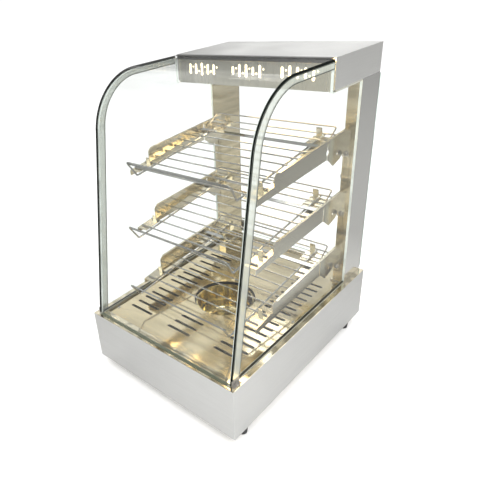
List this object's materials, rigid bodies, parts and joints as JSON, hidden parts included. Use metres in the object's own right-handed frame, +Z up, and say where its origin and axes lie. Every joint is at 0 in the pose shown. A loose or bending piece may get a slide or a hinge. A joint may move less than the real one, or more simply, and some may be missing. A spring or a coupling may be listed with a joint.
{
  "type": "hot food display case",
  "caption": "Countertop hot food display case with curved front glass, lit canopy, tilted wire racks, a water pan, side posts and a hinged rear glass door.",
  "frame": {"origin": "on the table, under the middle of the case", "axes": "+Z up, the curved glass faces -Y, the rear door and controls face +Y, +X is to the right seen from the front"},
  "size_m": [0.37, 0.488, 0.61],
  "materials": {
    "outer_steel": "satin sheet",
    "inner_steel": "bright sheet",
    "pan_steel": "polished",
    "wire_chrome": "bright wire",
    "screw_steel": "plated",
    "rubber_black": "matt",
    "black_plastic": "fine grain",
    "channel_dark": "satin",
    "rocker_red": "gloss",
    "rocker_black": "gloss",
    "lamp_amber": "lens",
    "pane_glass": "clear float",
    "edge_profile": "clear profile",
    "glow_panel": "lit diffuser",
    "lamp_glass": "frosted tube",
    "heater_dark": "heat-blued sheath",
    "insulator_white": "moulded"
  },
  "bodies": {
    "case": {"base_housing": "outer_steel", "base_floor": "outer_steel", "feet": "rubber_black", "foot_screws": "screw_steel", "deck_plate": "inner_steel", "deck_screws": "screw_steel", "heat_tray": "inner_steel", "heater_element": "heater_dark", "heater_clips": "inner_steel", "terminal_block": "insulator_white", "thermostat": "inner_steel", "control_panel": "outer_steel", "panel_screws": "screw_steel", "power_switch": "black_plastic", "light_switch": "black_plastic", "pilot_lamp": "lamp_amber", "cord_gland": "black_plastic", "post_left": "inner_steel", "post_right": "inner_steel", "canopy_cover": "outer_steel", "canopy_liner": "inner_steel", "canopy_screws": "screw_steel", "fascia": "inner_steel", "fascia_diffuser": "glow_panel", "lamp_tube": "lamp_glass", "lamp_holders": "insulator_white", "lamp_lens": "glow_panel", "front_glass": "pane_glass", "side_glass_left": "pane_glass", "side_glass_right": "pane_glass", "edge_trim_left": "edge_profile", "edge_trim_right": "edge_profile", "glass_gasket": "rubber_black", "top_channel": "channel_dark", "corner_clips": "screw_steel", "arm_screws": "screw_steel", "arm_washers": "screw_steel", "hinge_brackets": "outer_steel", "door_seals": "rubber_black", "latch_magnet": "channel_dark", "arm_left_1": "inner_steel", "arm_right_1": "inner_steel", "arm_left_2": "inner_steel", "arm_right_2": "inner_steel", "arm_left_3": "inner_steel", "arm_right_3": "inner_steel"},
    "door": {"door_glass": "pane_glass", "door_hinges": "outer_steel", "finger_pull": "black_plastic", "latch_plate": "screw_steel"},
    "knob": {"thermostat_knob": "black_plastic"},
    "power_rocker": {"power_rocker": "rocker_red"},
    "light_rocker": {"light_rocker": "rocker_black"},
    "rack_top": {"rack_1": "wire_chrome", "rack_guards_1": "wire_chrome"},
    "rack_middle": {"rack_2": "wire_chrome", "rack_guards_2": "wire_chrome"},
    "rack_bottom": {"rack_3": "wire_chrome", "rack_guards_3": "wire_chrome"},
    "pan": {"water_pan": "pan_steel"}
  },
  "joints": [
    {"name": "door_swing", "type": "hinge", "parent": "case", "child": "door", "pos_m": [-0.178, 0.2435, 0.345], "axis": [0, 0, 1], "range_deg": [0, 105]},
    {"name": "knob_turn", "type": "hinge", "parent": "case", "child": "knob", "pos_m": [0, 0.2355, 0.077], "axis": [0, 1, 0], "range_deg": [0, 270]},
    {"name": "power_rock", "type": "hinge", "parent": "case", "child": "power_rocker", "pos_m": [-0.062, 0.233, 0.077], "axis": [1, 0, 0], "range_deg": [0, 20]},
    {"name": "light_rock", "type": "hinge", "parent": "case", "child": "light_rocker", "pos_m": [0.062, 0.233, 0.077], "axis": [1, 0, 0], "range_deg": [0, 20]},
    {"name": "rack_top_lift", "type": "slide", "parent": "case", "child": "rack_top", "axis": [0, 0, 1], "range_m": [0, 0.02]},
    {"name": "rack_middle_lift", "type": "slide", "parent": "case", "child": "rack_middle", "axis": [0, 0, 1], "range_m": [0, 0.02]},
    {"name": "rack_bottom_lift", "type": "slide", "parent": "case", "child": "rack_bottom", "axis": [0, 0, 1], "range_m": [0, 0.02]},
    {"name": "pan_lift", "type": "slide", "parent": "case", "child": "pan", "axis": [0, 0, 1], "range_m": [0, 0.03]}
  ]
}
